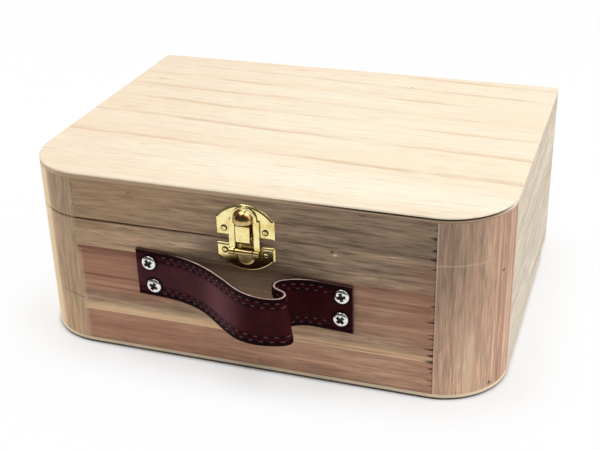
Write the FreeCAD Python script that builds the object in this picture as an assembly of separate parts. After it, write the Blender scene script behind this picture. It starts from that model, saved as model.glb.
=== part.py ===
import FreeCAD, Part
import math
import os

from FreeCAD import Vector

# Case: outside sizes and the saw cut that parts the lid from the base
case_width = 220.0
case_depth = 165.0
base_height = 64.8
lid_height = 21.8
parting_gap = 0.4
wall_thickness = 9.0
panel_thickness = 2.5
corner_radius = 30.0
edge_break = 0.5

# Corner blocks and the glued joints of the frame
block_front_length = 27.5
block_side_length = 30.0
tongue_length = 4.0
tongue_thickness = 3.0
back_lap = 4.5

# Nails of the hinges and the clasp
nail_shank_radius = 0.6
nail_length = 6.5
nail_tip_length = 1.5
nail_tip_radius = 0.15
nail_head_radius = 1.5
nail_head_height = 0.65
pilot_clearance = 0.05

# Flats round each nail and shank and round a screw head, and the shares of a head that its crown keeps
shank_sides = 10
head_sides = 24
nail_crown_share = 0.62
screw_crown_share = 0.6
screw_rim_share = 0.35

# Butt hinges on the outside of the back
hinge_inset = 48.0
hinge_length = 25.0
hinge_leaf_width = 11.0
hinge_leaf_thickness = 0.8
hinge_leaf_corner_radius = 1.5
hinge_knuckle_radius = 1.6
hinge_pin_radius = 0.8
hinge_knuckle_gap = 0.25
hinge_nail_spacing = 14.0
hinge_nail_inset = 3.6
running_clearance = 0.05
seat_clearance = 0.02

# Clasp plates: heights run away from the parting line
clasp_width = 26.8
plate_thickness = 1.0
plate_bevel = 0.8
ear_step = 1.2
ear_rise = 0.5
upper_plate_setback = 1.9
upper_plate_height = 15.3
upper_plate_shoulder = 9.1
lower_plate_setback = 1.8
lower_plate_height = 12.3
lower_plate_shoulder = 6.6
clasp_nail_spacing = 18.8
upper_nail_height = 3.6
lower_nail_drop = 3.2

# Hook on the upper plate
hook_width = 6.4
hook_drop = 1.45
hook_height = 8.0
hook_reach = 3.9
hook_thickness = 0.9
hook_bend_radius = 0.8

# Hasp, swinging on the lower plate
hasp_half_width = 7.0
hasp_thickness = 0.8
hasp_plate_gap = 0.35
hasp_shoulder_rise = 0.4
hood_rim_gap = 1.65
hood_skirt = 0.8
hood_radius = 5.0
hood_wall = 0.8
hood_flange = 0.9
hasp_knuckle_radius = 1.5
hasp_knuckle_drop = 2.4
hasp_side_gap = 0.2
hasp_pin_radius = 0.7
boss_radius = 4.6
boss_height = 2.0
boss_drop = 2.4
boss_edge = 1.4

# Strap handle: two leather layers in a run of straight stretches and bends, from the left end
strap_width = 22.8
strap_face_thickness = 0.9
strap_lining_thickness = 0.7
strap_left_end = 52.3
strap_left_height = 43.0
strap_tilt = 2.35
strap_left_flat = 12.0
strap_lift_radius = 50.0
strap_lift_turn = 35.0
strap_crest_radius = 23.0
strap_crest_turn = 60.5
strap_fold_radius = 2.4
strap_fold_turn = 142.0
strap_return_run = 3.0
strap_tuck_radius = 4.9
strap_tuck_turn = 124.0
strap_settle_radius = 20.0
strap_right_flat = 16.3

# Screws of the strap
screw_head_radius = 3.4
screw_head_height = 1.7
screw_shank_radius = 1.5
screw_length = 8.4
screw_tip_length = 2.2
screw_tip_radius = 0.4
screw_recess_length = 4.4
screw_recess_width = 1.4
screw_recess_depth = 1.2
screw_spacing = 11.2
screw_left_inset = 7.0
screw_left_skew = 2.2
screw_right_inset = 4.4
screw_right_lift = 0.9

# Length by which every cutting shape runs past what it cuts
overrun = 1.0

# Hinge length split into three equal knuckles
knuckle_share = 1 / 3

# Derived places
side_x = case_width / 2
front_y = -case_depth / 2
back_y = case_depth / 2
parting_z = base_height + parting_gap / 2
lid_bottom_z = base_height + parting_gap
case_top_z = lid_bottom_z + lid_height
strap_thickness = strap_face_thickness + strap_lining_thickness

origin = Vector(0, 0, 0)
along_x = Vector(1, 0, 0)
along_y = Vector(0, 1, 0)
along_z = Vector(0, 0, 1)


# Shared shapes
def box(x_span, y_span, z_span):
    spans = (x_span, y_span, z_span)
    sizes = [high - low for low, high in spans]
    return Part.makeBox(*sizes, Vector(*[low for low, high in spans]))


def rod_along_x(radius, x_span, y, z):
    return Part.makeCylinder(radius, x_span[1] - x_span[0], Vector(x_span[0], y, z), along_x)


def rod_along_y(radius, y_span, z):
    return Part.makeCylinder(radius, y_span[1] - y_span[0], Vector(0, y_span[0], z), along_y)


def face_of(edges):
    return Part.Face(Part.Wire(Part.__sortEdges__(edges)))


def segment(start, end):
    return Part.LineSegment(start, end).toShape()


def arc(start, middle, end):
    return Part.Arc(start, middle, end).toShape()


def edges_at_height(shape, z):
    tolerance = edge_break / case_width
    return [e for e in shape.Edges if all(abs(v.Z - z) < tolerance for v in e.Vertexes)]


def mirrored(shape):
    return shape.mirror(origin, along_x)


# Faceted rod through (radius, height) stations, with flat sides and ends
def faceted_rod(stations, sides):
    turns = [2 * math.pi * k / sides for k in range(sides)]
    rings = [[Vector(r * math.cos(t), r * math.sin(t), z) for t in turns] for r, z in stations]
    outlines = [rings[0], rings[-1]]
    for low, high in zip(rings, rings[1:]):
        outlines += [[low[k - 1], low[k], high[k], high[k - 1]] for k in range(sides)]
    faces = [Part.Face(Part.makePolygon(points + points[:1])) for points in outlines]
    return Part.makeSolid(Part.makeShell(faces))


def pointed_shank(radius, length, tip_radius, tip_length):
    return faceted_rod([(tip_radius, -length), (radius, tip_length - length), (radius, 0)], shank_sides)


# A shape drawn facing a viewer, x right, y up and z outward, set on the front or the back of the case
def on_front(shape, x, z):
    placed = shape.copy()
    placed.rotate(origin, along_x, 90)
    placed.translate(Vector(x, front_y, z))
    return placed


def on_back(shape, x, z):
    placed = shape.copy()
    placed.rotate(origin, along_x, 90)
    placed.rotate(origin, along_z, 180)
    placed.translate(Vector(x, back_y, z))
    return placed


# Case outline: square at the back, rounded at the two front corners
def outline_prism(inset, bottom, top):
    x = side_x - inset
    front = front_y + inset
    back = back_y - inset
    radius = corner_radius - inset
    centre_x = side_x - corner_radius
    centre_y = front_y + corner_radius
    bulge = radius * math.sqrt(0.5)
    edges = [
        segment(Vector(-x, back, bottom), Vector(x, back, bottom)),
        segment(Vector(x, back, bottom), Vector(x, centre_y, bottom)),
        arc(Vector(x, centre_y, bottom), Vector(centre_x + bulge, centre_y - bulge, bottom),
            Vector(centre_x, front, bottom)),
        segment(Vector(centre_x, front, bottom), Vector(-centre_x, front, bottom)),
        arc(Vector(-centre_x, front, bottom), Vector(-centre_x - bulge, centre_y - bulge, bottom),
            Vector(-x, centre_y, bottom)),
        segment(Vector(-x, centre_y, bottom), Vector(-x, back, bottom)),
    ]
    return face_of(edges).extrude(Vector(0, 0, top - bottom))


def broken_prism(bottom, top, broken_z):
    prism = outline_prism(0, bottom, top)
    return prism.makeChamfer(edge_break, edges_at_height(prism, broken_z))


# Frame of one half of the case: boards tongued into corner blocks, back board let into the sides
def frame_pieces(bottom, top, rim_z):
    inside = outline_prism(wall_thickness, bottom - overrun, top + overrun)
    ring = broken_prism(bottom, top, rim_z).cut(inside)
    height = (bottom, top)
    board_end_x = side_x - block_front_length
    block_end_y = front_y + block_side_length
    tongue_side = wall_thickness / 2 - tongue_thickness / 2
    front_tongue = box((board_end_x, board_end_x + tongue_length),
                       (front_y + tongue_side, front_y + tongue_side + tongue_thickness), height)
    side_tongue = box((side_x - tongue_side - tongue_thickness, side_x - tongue_side),
                      (block_end_y - tongue_length, block_end_y), height)
    front_zone = box((-board_end_x, board_end_x), (front_y, block_end_y), height)
    block_zone = box((board_end_x, side_x), (front_y, block_end_y), height)
    side_zone = box((0, side_x), (block_end_y, back_y), height)
    back_zone = box((back_lap - side_x, side_x - back_lap), (back_y - wall_thickness, back_y), height)
    front = ring.common(front_zone).fuse([front_tongue, mirrored(front_tongue)])
    back = ring.common(back_zone)
    side = ring.common(side_zone).cut(back).fuse(side_tongue)
    block = ring.common(block_zone).cut([front_tongue, side_tongue])
    return {
        "front_board": front.removeSplitter(),
        "back_board": back,
        "left_board": mirrored(side.removeSplitter()),
        "right_board": side.removeSplitter(),
        "left_corner_block": mirrored(block),
        "right_corner_block": block,
    }


# Nail: low crowned head on z = 0, shank and point inward
def nail():
    shank = pointed_shank(nail_shank_radius, nail_length, nail_tip_radius, nail_tip_length)
    crown_radius = nail_head_radius * nail_crown_share
    head = faceted_rod([(nail_head_radius, 0), (crown_radius, nail_head_height)], shank_sides)
    return shank.fuse(head).removeSplitter()


def pilot(radius, length):
    hole_radius = radius + pilot_clearance
    return faceted_rod([(hole_radius, -length - pilot_clearance), (hole_radius, overrun)], shank_sides)


# Nails seated on a plate at the given places, and the holes they need
def nails_at(places, plate):
    seats = [Vector(x, y, plate) for x, y in places]
    nails = Part.makeCompound([nail().translated(seat) for seat in seats])
    holes = Part.makeCompound([pilot(nail_shank_radius, nail_length).translated(seat) for seat in seats])
    return nails, holes


# Hinge leaf: plate on one side of the axis, with its own knuckles and room for the other leaf's
def hinge_leaf(side, own_spans, other_spans, bore_clearance):
    half = hinge_length / 2
    reach = side * hinge_leaf_width
    plate = box((-half, half), sorted((0, reach)), (0, hinge_leaf_thickness))
    corners = [e for e in plate.Edges if all(abs(v.Y - reach) < overrun for v in e.Vertexes)
               and e.Vertexes[0].Z != e.Vertexes[1].Z]
    leaf = plate.makeFillet(hinge_leaf_corner_radius, corners)
    room = hinge_knuckle_radius + hinge_knuckle_gap
    for low, high in other_spans:
        leaf = leaf.cut(box((low - hinge_knuckle_gap, high + hinge_knuckle_gap), (-room, room),
                            (-overrun, hinge_leaf_thickness + overrun)))
    for span in own_spans:
        leaf = leaf.fuse(rod_along_x(hinge_knuckle_radius, span, 0, hinge_knuckle_radius))
    bore = rod_along_x(hinge_pin_radius + bore_clearance, (-half - overrun, half + overrun),
                       0, hinge_knuckle_radius)
    return leaf.cut(bore).removeSplitter()


# One hinge: both leaves, its pin, the nails of each leaf and their holes
def hinge():
    half = hinge_length / 2
    inner = hinge_length * knuckle_share / 2
    lid_spans = [(-inner, inner)]
    base_spans = [(-half, -inner - hinge_knuckle_gap), (inner + hinge_knuckle_gap, half)]
    lid_leaf = hinge_leaf(1, lid_spans, base_spans, running_clearance)
    base_leaf = hinge_leaf(-1, base_spans, lid_spans, seat_clearance)
    pin = rod_along_x(hinge_pin_radius, (-half, half), 0, hinge_knuckle_radius)
    nail_y = hinge_leaf_width - hinge_nail_inset
    nail_x = hinge_nail_spacing / 2
    lid_nails, lid_holes = nails_at([(-nail_x, nail_y), (nail_x, nail_y)], hinge_leaf_thickness)
    base_nails, base_holes = nails_at([(-nail_x, -nail_y), (nail_x, -nail_y)], hinge_leaf_thickness)
    return {"lid_leaf": lid_leaf.cut(lid_holes), "base_leaf": base_leaf.cut(base_holes), "pin": pin,
            "lid_nails": lid_nails, "base_nails": base_nails,
            "lid_holes": lid_holes, "base_holes": base_holes}


# Clasp plate: straight at the parting line, arched at its far end, with an ear at each shoulder
def clasp_plate(side, setback, shoulder, height):
    half = clasp_width / 2
    near = side * setback
    ear_y = side * (setback + shoulder)
    arch_y = side * (setback + shoulder + ear_rise)
    crown = Vector(0, side * (setback + height), 0)
    arch_x = half - ear_step
    left = [Vector(-half, near, 0), Vector(-half, ear_y, 0), Vector(-arch_x, arch_y, 0)]
    right = [Vector(arch_x, arch_y, 0), Vector(half, ear_y, 0), Vector(half, near, 0)]
    edges = [segment(a, b) for a, b in zip(left, left[1:])]
    edges += [arc(left[-1], crown, right[0])]
    edges += [segment(a, b) for a, b in zip(right, right[1:])]
    edges += [segment(right[-1], left[0])]
    plate = face_of(edges).extrude(Vector(0, 0, plate_thickness))
    return plate.makeChamfer(plate_bevel, edges_at_height(plate, plate_thickness))


# Upper plate: its tongue hangs below the straight edge, bends outward and turns up as the hook
def clasp_upper_plate():
    plate = clasp_plate(1, upper_plate_setback, upper_plate_shoulder, upper_plate_height)
    half = hook_width / 2
    root_y = upper_plate_setback - hook_drop
    tongue = box((-half, half), (root_y, upper_plate_setback + plate_bevel), (0, plate_thickness))
    root = box((-half, half), (root_y, root_y + hook_thickness), (0, hook_reach))
    tab = box((-half, half), (root_y, root_y + hook_height), (hook_reach - hook_thickness, hook_reach))
    hook = root.fuse(tab).removeSplitter()
    bend = [e for e in hook.Edges
            if all(abs(v.Y - root_y) + abs(v.Z - hook_reach) < hook_bend_radius / 2 for v in e.Vertexes)]
    return plate.fuse([tongue, hook.makeFillet(hook_bend_radius, bend)]).removeSplitter()


# Hasp pivot, in the clasp's own frame
hasp_back = plate_thickness + hasp_plate_gap
hasp_pivot_y = -lower_plate_setback - hasp_knuckle_drop
hasp_pivot_z = hasp_back + hasp_knuckle_radius
hood_inner_radius = hood_radius - hood_wall
hood_y = upper_plate_setback - hook_drop + hook_height + hood_rim_gap
hood_ball_y = hood_y + hood_skirt
hasp_span = (-hasp_half_width, hasp_half_width)
middle_knuckle_half = hood_inner_radius - hasp_side_gap


# Lower plate: a rounded boss carries the middle knuckle that the hasp swings on
def clasp_lower_plate():
    plate = clasp_plate(-1, lower_plate_setback, lower_plate_shoulder, lower_plate_height)
    half = middle_knuckle_half
    boss_y = hasp_pivot_y - boss_drop
    boss_top = hasp_pivot_y - hasp_knuckle_radius - hasp_side_gap
    boss = Part.makeCylinder(boss_radius, boss_height, Vector(0, boss_y, 0))
    boss = boss.makeChamfer(boss_edge, edges_at_height(boss, boss_height))
    boss = boss.cut(box((-boss_radius - overrun, boss_radius + overrun),
                        (boss_top, boss_y + boss_radius + overrun), (-overrun, boss_height + overrun)))
    neck = box((-half, half), (boss_top, hasp_pivot_y), (0, boss_height))
    barrel = rod_along_x(hasp_knuckle_radius, (-half, half), hasp_pivot_y, hasp_pivot_z)
    bore = rod_along_x(hasp_pin_radius + seat_clearance, (-half - overrun, half + overrun),
                       hasp_pivot_y, hasp_pivot_z)
    return plate.fuse([boss, neck, barrel]).cut(bore).removeSplitter()


# Hood: a quarter of a hollow ball on a short half tube, open below and behind
def hasp_hood():
    slant = math.sqrt(0.5)
    outer = [Vector(hood_radius, 0, 0), Vector(hood_radius * slant, hood_radius * slant, 0),
             Vector(0, hood_radius, 0)]
    inner = [Vector(0, hood_inner_radius, 0),
             Vector(hood_inner_radius * slant, hood_inner_radius * slant, 0),
             Vector(hood_inner_radius, 0, 0)]
    section = face_of([arc(*outer), segment(outer[-1], inner[0]), arc(*inner),
                       segment(inner[-1], outer[0])])
    ball = section.revolve(origin, Vector(0, -1, 0), 180).translated(Vector(0, hood_ball_y, hasp_back))
    reach = hood_radius + overrun
    tube = rod_along_y(hood_radius, (hood_y, hood_ball_y), hasp_back)
    tube = tube.cut(rod_along_y(hood_inner_radius, (hood_y - overrun, hood_ball_y + overrun), hasp_back))
    behind = box((-reach, reach), (hood_y - overrun, hood_ball_y + overrun), (hasp_back - reach, hasp_back))
    return ball.fuse(tube.cut(behind)).removeSplitter()


# Hasp: two rails rolled round the pin, joined above by the hood that snaps over the hook
def clasp_hasp():
    back_and_front = (hasp_back, hasp_back + hasp_thickness)
    cut_depth = (hasp_back - overrun, hasp_back + hasp_thickness + overrun)
    flange = Part.makeCylinder(hood_radius + hood_flange, hasp_thickness, Vector(0, hood_ball_y, hasp_back))
    sheet = flange.fuse(box(hasp_span, (hasp_pivot_y, hood_y + hasp_shoulder_rise), back_and_front))
    window = box((-hood_inner_radius, hood_inner_radius), (hasp_pivot_y - overrun, hood_ball_y), cut_depth)
    hollow = Part.makeCylinder(hood_inner_radius, hasp_thickness + 2 * overrun,
                               Vector(0, hood_ball_y, hasp_back - overrun))
    sheet = sheet.cut([window, hollow])
    hood = hasp_hood()
    knuckles = [rod_along_x(hasp_knuckle_radius, span, hasp_pivot_y, hasp_pivot_z)
                for span in ((-hasp_half_width, -hood_inner_radius), (hood_inner_radius, hasp_half_width))]
    bore = rod_along_x(hasp_pin_radius + running_clearance,
                       (-hasp_half_width - overrun, hasp_half_width + overrun), hasp_pivot_y, hasp_pivot_z)
    return sheet.fuse([hood] + knuckles).cut(bore).removeSplitter()


# Strap route: straight lengths and bends as (length or radius, turn in degrees), left end to right end
def strap_steps():
    first_drop = strap_crest_turn - strap_lift_turn
    last_drop = first_drop + strap_fold_turn
    settle_turn = last_drop - strap_tuck_turn
    lift, first, last, settle = [math.radians(a) for a in
                                 (strap_lift_turn, first_drop, last_drop, settle_turn)]
    crest_height = (strap_crest_radius * (1 - math.cos(first))
                    + strap_fold_radius * (math.cos(first) - math.cos(last))
                    + strap_return_run * math.sin(last)
                    + strap_tuck_radius * (math.cos(settle) - math.cos(last))
                    + strap_settle_radius * (1 - math.cos(settle)))
    bend_height = (strap_lift_radius + strap_crest_radius) * (1 - math.cos(lift))
    rise_run = (crest_height - bend_height) / math.sin(lift)
    return [
        (strap_left_flat, 0),
        (strap_lift_radius, strap_lift_turn),
        (rise_run, 0),
        (strap_crest_radius, -strap_crest_turn),
        (strap_fold_radius, -strap_fold_turn),
        (strap_return_run, 0),
        (strap_tuck_radius, strap_tuck_turn),
        (strap_settle_radius, settle_turn),
        (strap_right_flat, 0),
    ]


def outward_normal(heading):
    return Vector(-math.sin(heading), 0, math.cos(heading))


# Edges of the route moved sideways by an offset, and the route's own end point
def strap_edges(offset):
    point = Vector(0, -strap_width / 2, 0)
    heading = 0.0
    edges = []
    for size, turn in strap_steps():
        end_heading = heading + math.radians(turn)
        if turn == 0:
            end = point + Vector(math.cos(heading), 0, math.sin(heading)) * size
            shift = outward_normal(heading) * offset
            edges.append(segment(point + shift, end + shift))
        else:
            side = math.copysign(size, turn)
            centre = point + outward_normal(heading) * side
            headings = (heading, (heading + end_heading) / 2, end_heading)
            edges.append(arc(*[centre + outward_normal(h) * (offset - side) for h in headings]))
            end = centre - outward_normal(end_heading) * side
        point = end
        heading = end_heading
    return edges, point


# One leather layer between two offsets, square cut at both ends
def strap_layer(low, high):
    low_edges, end = strap_edges(low)
    high_edges, end = strap_edges(high)
    start = Vector(0, end.y, 0)
    up = along_z
    caps = [segment(start + up * low, start + up * high), segment(end + up * low, end + up * high)]
    return face_of(low_edges + high_edges + caps).extrude(Vector(0, strap_width, 0))


# Pan-head screw with a crossed recess
def strap_screw():
    head = faceted_rod([(screw_head_radius, 0),
                        (screw_head_radius, screw_head_height * screw_rim_share),
                        (screw_head_radius * screw_crown_share, screw_head_height)], head_sides)
    screw = head.fuse(pointed_shank(screw_shank_radius, screw_length, screw_tip_radius, screw_tip_length))
    long_half = screw_recess_length / 2
    short_half = screw_recess_width / 2
    depth = (screw_head_height - screw_recess_depth, screw_head_height + overrun)
    across = box((-long_half, long_half), (-short_half, short_half), depth)
    upright = box((-short_half, short_half), (-long_half, long_half), depth)
    return screw.cut([across, upright]).removeSplitter()


# Strap, screws and holes in the strap's own frame, then tilted and set on the front
def strap_pieces():
    end = strap_edges(0)[1]
    half = screw_spacing / 2
    right_x = end.x - screw_right_inset
    places = [(screw_left_inset - screw_left_skew / 2, half), (screw_left_inset + screw_left_skew / 2, -half),
              (right_x, screw_right_lift + half), (right_x, screw_right_lift - half)]
    seats = [Vector(x, y, strap_thickness) for x, y in places]
    screws = Part.makeCompound([strap_screw().translated(seat) for seat in seats])
    holes = Part.makeCompound([pilot(screw_shank_radius, screw_length).translated(seat) for seat in seats])
    lining = strap_layer(0, strap_lining_thickness).cut(holes)
    face = strap_layer(strap_lining_thickness, strap_thickness).cut(holes)
    pieces = {"handle_strap_lining": lining, "handle_strap_face": face, "strap_screws": screws, "holes": holes}
    for name, piece in pieces.items():
        tilted = piece.copy()
        tilted.rotate(origin, along_z, -strap_tilt)
        pieces[name] = on_front(tilted, -strap_left_end, strap_left_height)
    return pieces


# Whole case
def case_nodes():
    base = frame_pieces(panel_thickness, base_height, base_height)
    lid = frame_pieces(lid_bottom_z, case_top_z - panel_thickness, lid_bottom_z)
    nodes = {}

    hinge_pieces = hinge()
    groups = {"lid_nails": [], "base_nails": [], "lid_holes": [], "base_holes": []}
    for name, x in (("left", hinge_inset - side_x), ("right", side_x - hinge_inset)):
        placed = {key: on_back(shape, x, parting_z) for key, shape in hinge_pieces.items()}
        for key in ("lid_leaf", "base_leaf", "pin"):
            nodes[f"{name}_hinge_{key}"] = placed[key]
        for key in groups:
            groups[key].extend(placed[key].Solids)
    nodes["hinge_lid_nails"] = Part.makeCompound(groups["lid_nails"])
    nodes["hinge_base_nails"] = Part.makeCompound(groups["base_nails"])
    base["back_board"] = base["back_board"].cut(groups["base_holes"])
    lid["back_board"] = lid["back_board"].cut(groups["lid_holes"])

    nail_x = clasp_nail_spacing / 2
    upper_y = upper_plate_setback + upper_nail_height
    lower_y = -lower_plate_setback - lower_nail_drop
    upper_nails, upper_holes = nails_at([(-nail_x, upper_y), (nail_x, upper_y)], plate_thickness)
    lower_nails, lower_holes = nails_at([(-nail_x, lower_y), (nail_x, lower_y)], plate_thickness)
    pin = rod_along_x(hasp_pin_radius, hasp_span, hasp_pivot_y, hasp_pivot_z)
    clasp = {"clasp_upper_plate": clasp_upper_plate().cut(upper_holes),
             "clasp_lower_plate": clasp_lower_plate().cut(lower_holes),
             "clasp_hasp": clasp_hasp(), "clasp_pin": pin,
             "clasp_upper_nails": upper_nails, "clasp_lower_nails": lower_nails}
    for name, shape in clasp.items():
        nodes[name] = on_front(shape, 0, parting_z)

    strap = strap_pieces()
    strap_holes = strap.pop("holes")
    nodes.update(strap)
    lid["front_board"] = lid["front_board"].cut(on_front(upper_holes, 0, parting_z))
    base["front_board"] = base["front_board"].cut([on_front(lower_holes, 0, parting_z), strap_holes])

    nodes["bottom_panel"] = broken_prism(0, panel_thickness, 0)
    nodes["top_panel"] = broken_prism(case_top_z - panel_thickness, case_top_z, case_top_z)
    for half_name, pieces in (("base", base), ("lid", lid)):
        for name, shape in pieces.items():
            nodes[f"{half_name}_{name}"] = shape
    return nodes


os.makedirs("parts", exist_ok=True)
for node_name, node_shape in case_nodes().items():
    node_shape.exportStep(f"parts/{node_name}.step")
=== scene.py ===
from math import cos, pi, radians, sin

import bmesh
import bpy
import numpy as np
from mathutils import Matrix, Vector


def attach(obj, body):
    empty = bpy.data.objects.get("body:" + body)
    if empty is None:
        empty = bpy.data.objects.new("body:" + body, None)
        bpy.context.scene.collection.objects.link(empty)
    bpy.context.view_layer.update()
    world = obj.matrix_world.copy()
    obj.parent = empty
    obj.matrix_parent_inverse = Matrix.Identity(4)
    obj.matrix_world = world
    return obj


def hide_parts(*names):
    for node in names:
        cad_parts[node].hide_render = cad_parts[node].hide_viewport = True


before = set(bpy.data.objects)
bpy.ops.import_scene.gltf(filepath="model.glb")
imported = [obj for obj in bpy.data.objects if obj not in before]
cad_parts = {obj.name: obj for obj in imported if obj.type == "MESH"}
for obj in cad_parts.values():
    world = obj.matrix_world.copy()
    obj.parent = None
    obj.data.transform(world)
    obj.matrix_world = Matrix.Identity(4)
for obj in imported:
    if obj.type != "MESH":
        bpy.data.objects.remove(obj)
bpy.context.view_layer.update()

# The viewpoint: a long lens held a little above the case and round its right-hand corner,
# tipped very slightly to one side, with the case filling the frame.
view_azimuth = radians(19.108)
view_height = radians(26.639)
view_roll = radians(-1.444)
view_point = Vector((0.15868, -0.46961, 0.28141))
lens_length = 66.22
film_width = 36.0

view_back = Vector((sin(view_azimuth) * cos(view_height),
                    -cos(view_azimuth) * cos(view_height), sin(view_height)))
level_right = (-view_back).cross(Vector((0, 0, 1))).normalized()
level_up = level_right.cross(-view_back)
view_right = cos(view_roll) * level_right + sin(view_roll) * level_up
view_up = cos(view_roll) * level_up - sin(view_roll) * level_right
lens = bpy.data.cameras.new("view")
lens.sensor_fit = 'HORIZONTAL'
lens.sensor_width = film_width
lens.lens = lens_length
lens.clip_start = 0.01
camera = bpy.data.objects.new("view", lens)
camera.matrix_world = Matrix.Translation(view_point) @ Matrix(
    (view_right, view_up, view_back)).transposed().to_4x4()
bpy.context.scene.collection.objects.link(camera)
bpy.context.scene.camera = camera
bpy.context.scene.view_settings.view_transform = 'Standard'


# The studio: a white sheet of card under the case, three broad soft lamps overhead, one on the right
# and a low one on the left, and a dim room in front, which is what the polished brass mirrors.
class Shade:
    """A socket in a node tree: sums on it add Math nodes, and make() adds any other node."""

    def __init__(self, tree, socket=None):
        self.tree = tree
        self.socket = socket

    def make(self, kind, settings=None, sockets=None, out=0):
        node = self.tree.nodes.new(kind)
        for name, value in (settings or {}).items():
            setattr(node, name, value)
        for name, value in (sockets or {}).items():
            if isinstance(value, Shade):
                self.tree.links.new(value.socket, node.inputs[name])
            else:
                node.inputs[name].default_value = value
        return Shade(self.tree, node.outputs[out]) if node.outputs else None

    def math(self, operation, *others):
        return self.make("ShaderNodeMath", {"operation": operation}, dict(enumerate((self, *others))))

    def __add__(self, other):
        return self.math("ADD", other)

    def __sub__(self, other):
        return self.math("SUBTRACT", other)

    def __rsub__(self, other):
        return self.make("ShaderNodeMath", {"operation": "SUBTRACT"}, {0: other, 1: self})

    def __mul__(self, other):
        return self.math("MULTIPLY", other)

    def __truediv__(self, other):
        return self.math("DIVIDE", other)

    def __pow__(self, other):
        return self.math("POWER", other)

    def __abs__(self):
        return self.math("ABSOLUTE")

    __radd__ = __add__
    __rmul__ = __mul__

    def rises(self, low, high):
        """0 below low and 1 above high, with a smooth slope between."""
        return self.make("ShaderNodeMapRange", {"interpolation_type": "SMOOTHSTEP"},
                         {"Value": self, "From Min": low, "From Max": high})

    def near(self, middle, reach):
        """1 at the middle, fading smoothly to 0 at the reach on either side."""
        return 1 - abs(self - middle).rises(0.0, reach)

    def shaded(self, share):
        """This colour made lighter or darker by a share of itself."""
        return self.make("ShaderNodeVectorMath", {"operation": "SCALE"}, {0: self, "Scale": share})

    def blend(self, first, second):
        """This value as a share between two colours."""
        return self.make("ShaderNodeMix", {"data_type": "RGBA"}, {0: self, 6: first, 7: second}, out=2)


def tint(red, green, blue):
    """A colour as it looks on a screen, 0 to 255, turned into the shader's linear values."""
    parts = [part / 255 for part in (red, green, blue)]
    return tuple(p / 12.92 if p < 0.04 else ((p + 0.055) / 1.055) ** 2.4 for p in parts) + (1.0,)


def blank_material(name):
    material = bpy.data.materials.new(name)
    material.use_nodes = True
    material.node_tree.nodes.clear()
    return material, Shade(material.node_tree)


def seen_rays(bench):
    """1 for the rays that show a surface: straight, mirrored or through glass."""
    straight, mirrored, through = (bench.make("ShaderNodeLightPath", out=kind) for kind in
                                   ("Is Camera Ray", "Is Glossy Ray", "Is Transmission Ray"))
    return straight + mirrored + through


card_half, card_drop = 4.0, 0.0001
card_white = tint(250, 250, 250)
glow_near, glow_far, glow_reach = 0.56, 0.94, 0.036
crease_reach = 0.0025
foot_x, foot_y, foot_round = 0.110, 0.0825, 0.030
white_card, bench = blank_material("white_card")
place = bench.make("ShaderNodeTexCoord", out="Object")
over_x, over_y = ((abs(place.make("ShaderNodeSeparateXYZ", None, {"Vector": place}, out=axis)) - half
                   + foot_round).math("MAXIMUM", 0.0) for axis, half in (("X", foot_x), ("Y", foot_y)))
clear = (over_x ** 2.0 + over_y ** 2.0) ** 0.5 - foot_round
card_glow = glow_near + clear.rises(0.0, glow_reach) * (glow_far - glow_near)
card_glow = card_glow * clear.rises(0.0, crease_reach)
card_paper = bench.make("ShaderNodeBsdfDiffuse", None, {"Color": card_white})
card_light = bench.make("ShaderNodeEmission", None, {"Color": (1, 1, 1, 1), "Strength": 1.0})
card_face = bench.make("ShaderNodeMixShader", None,
                       {0: seen_rays(bench) * card_glow, 1: card_paper, 2: card_light})
bench.make("ShaderNodeOutputMaterial", None, {"Surface": card_face})
card_mesh = bpy.data.meshes.new("card_floor")
card_mesh.from_pydata([(x * card_half, y * card_half, -card_drop)
                       for x, y in ((-1, -1), (1, -1), (1, 1), (-1, 1))], [], [(0, 1, 2, 3)])
card_mesh.materials.append(white_card)
card_floor = bpy.data.objects.new("card_floor", card_mesh)
bpy.context.scene.collection.objects.link(card_floor)

room_dim = 0.10
room_bright = 0.55
room = bpy.data.worlds.new("room")
room.use_nodes = True
room.node_tree.nodes.clear()
bench = Shade(room.node_tree)
heading = bench.make("ShaderNodeTexCoord", out="Generated")
behind = heading.make("ShaderNodeSeparateXYZ", None, {"Vector": heading}, out="Y").rises(-0.35, 0.6)
wall_tone = behind.blend((room_dim, room_dim, room_dim, 1), (room_bright, room_bright, room_bright, 1))
wall_light = bench.make("ShaderNodeBackground", None, {"Color": wall_tone})
plain_white = bench.make("ShaderNodeBackground", None, {"Color": (1, 1, 1, 1)})
straight_ray = bench.make("ShaderNodeLightPath", out="Is Camera Ray")
room_face = bench.make("ShaderNodeMixShader", None, {0: straight_ray, 1: wall_light, 2: plain_white})
bench.make("ShaderNodeOutputWorld", None, {"Surface": room_face})
bpy.context.scene.world = room

lamps = (("overhead_left_lamp", (-0.30, -0.15, 1.20), 0.7, 5.8),
         ("overhead_right_lamp", (0.70, -0.10, 1.20), 0.7, 6.0),
         ("overhead_back_lamp", (0.10, 0.65, 1.15), 0.6, 1.2),
         ("right_lamp", (1.05, 0.05, 0.55), 0.8, 3.4),
         ("left_lamp", (-1.05, 0.08, 0.13), 0.22, 4.6))
lamp_aim = Vector((0, 0, 0.05))
for lamp_name, lamp_place, lamp_size, lamp_power in lamps:
    lamp = bpy.data.lights.new(lamp_name, 'AREA')
    lamp.size = lamp_size
    lamp.energy = lamp_power
    lamp_stand = bpy.data.objects.new(lamp_name, lamp)
    lamp_stand.location = lamp_place
    lamp_stand.rotation_euler = (lamp_aim - Vector(lamp_place)).to_track_quat('-Z', 'Y').to_euler()
    bpy.context.scene.collection.objects.link(lamp_stand)


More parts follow.
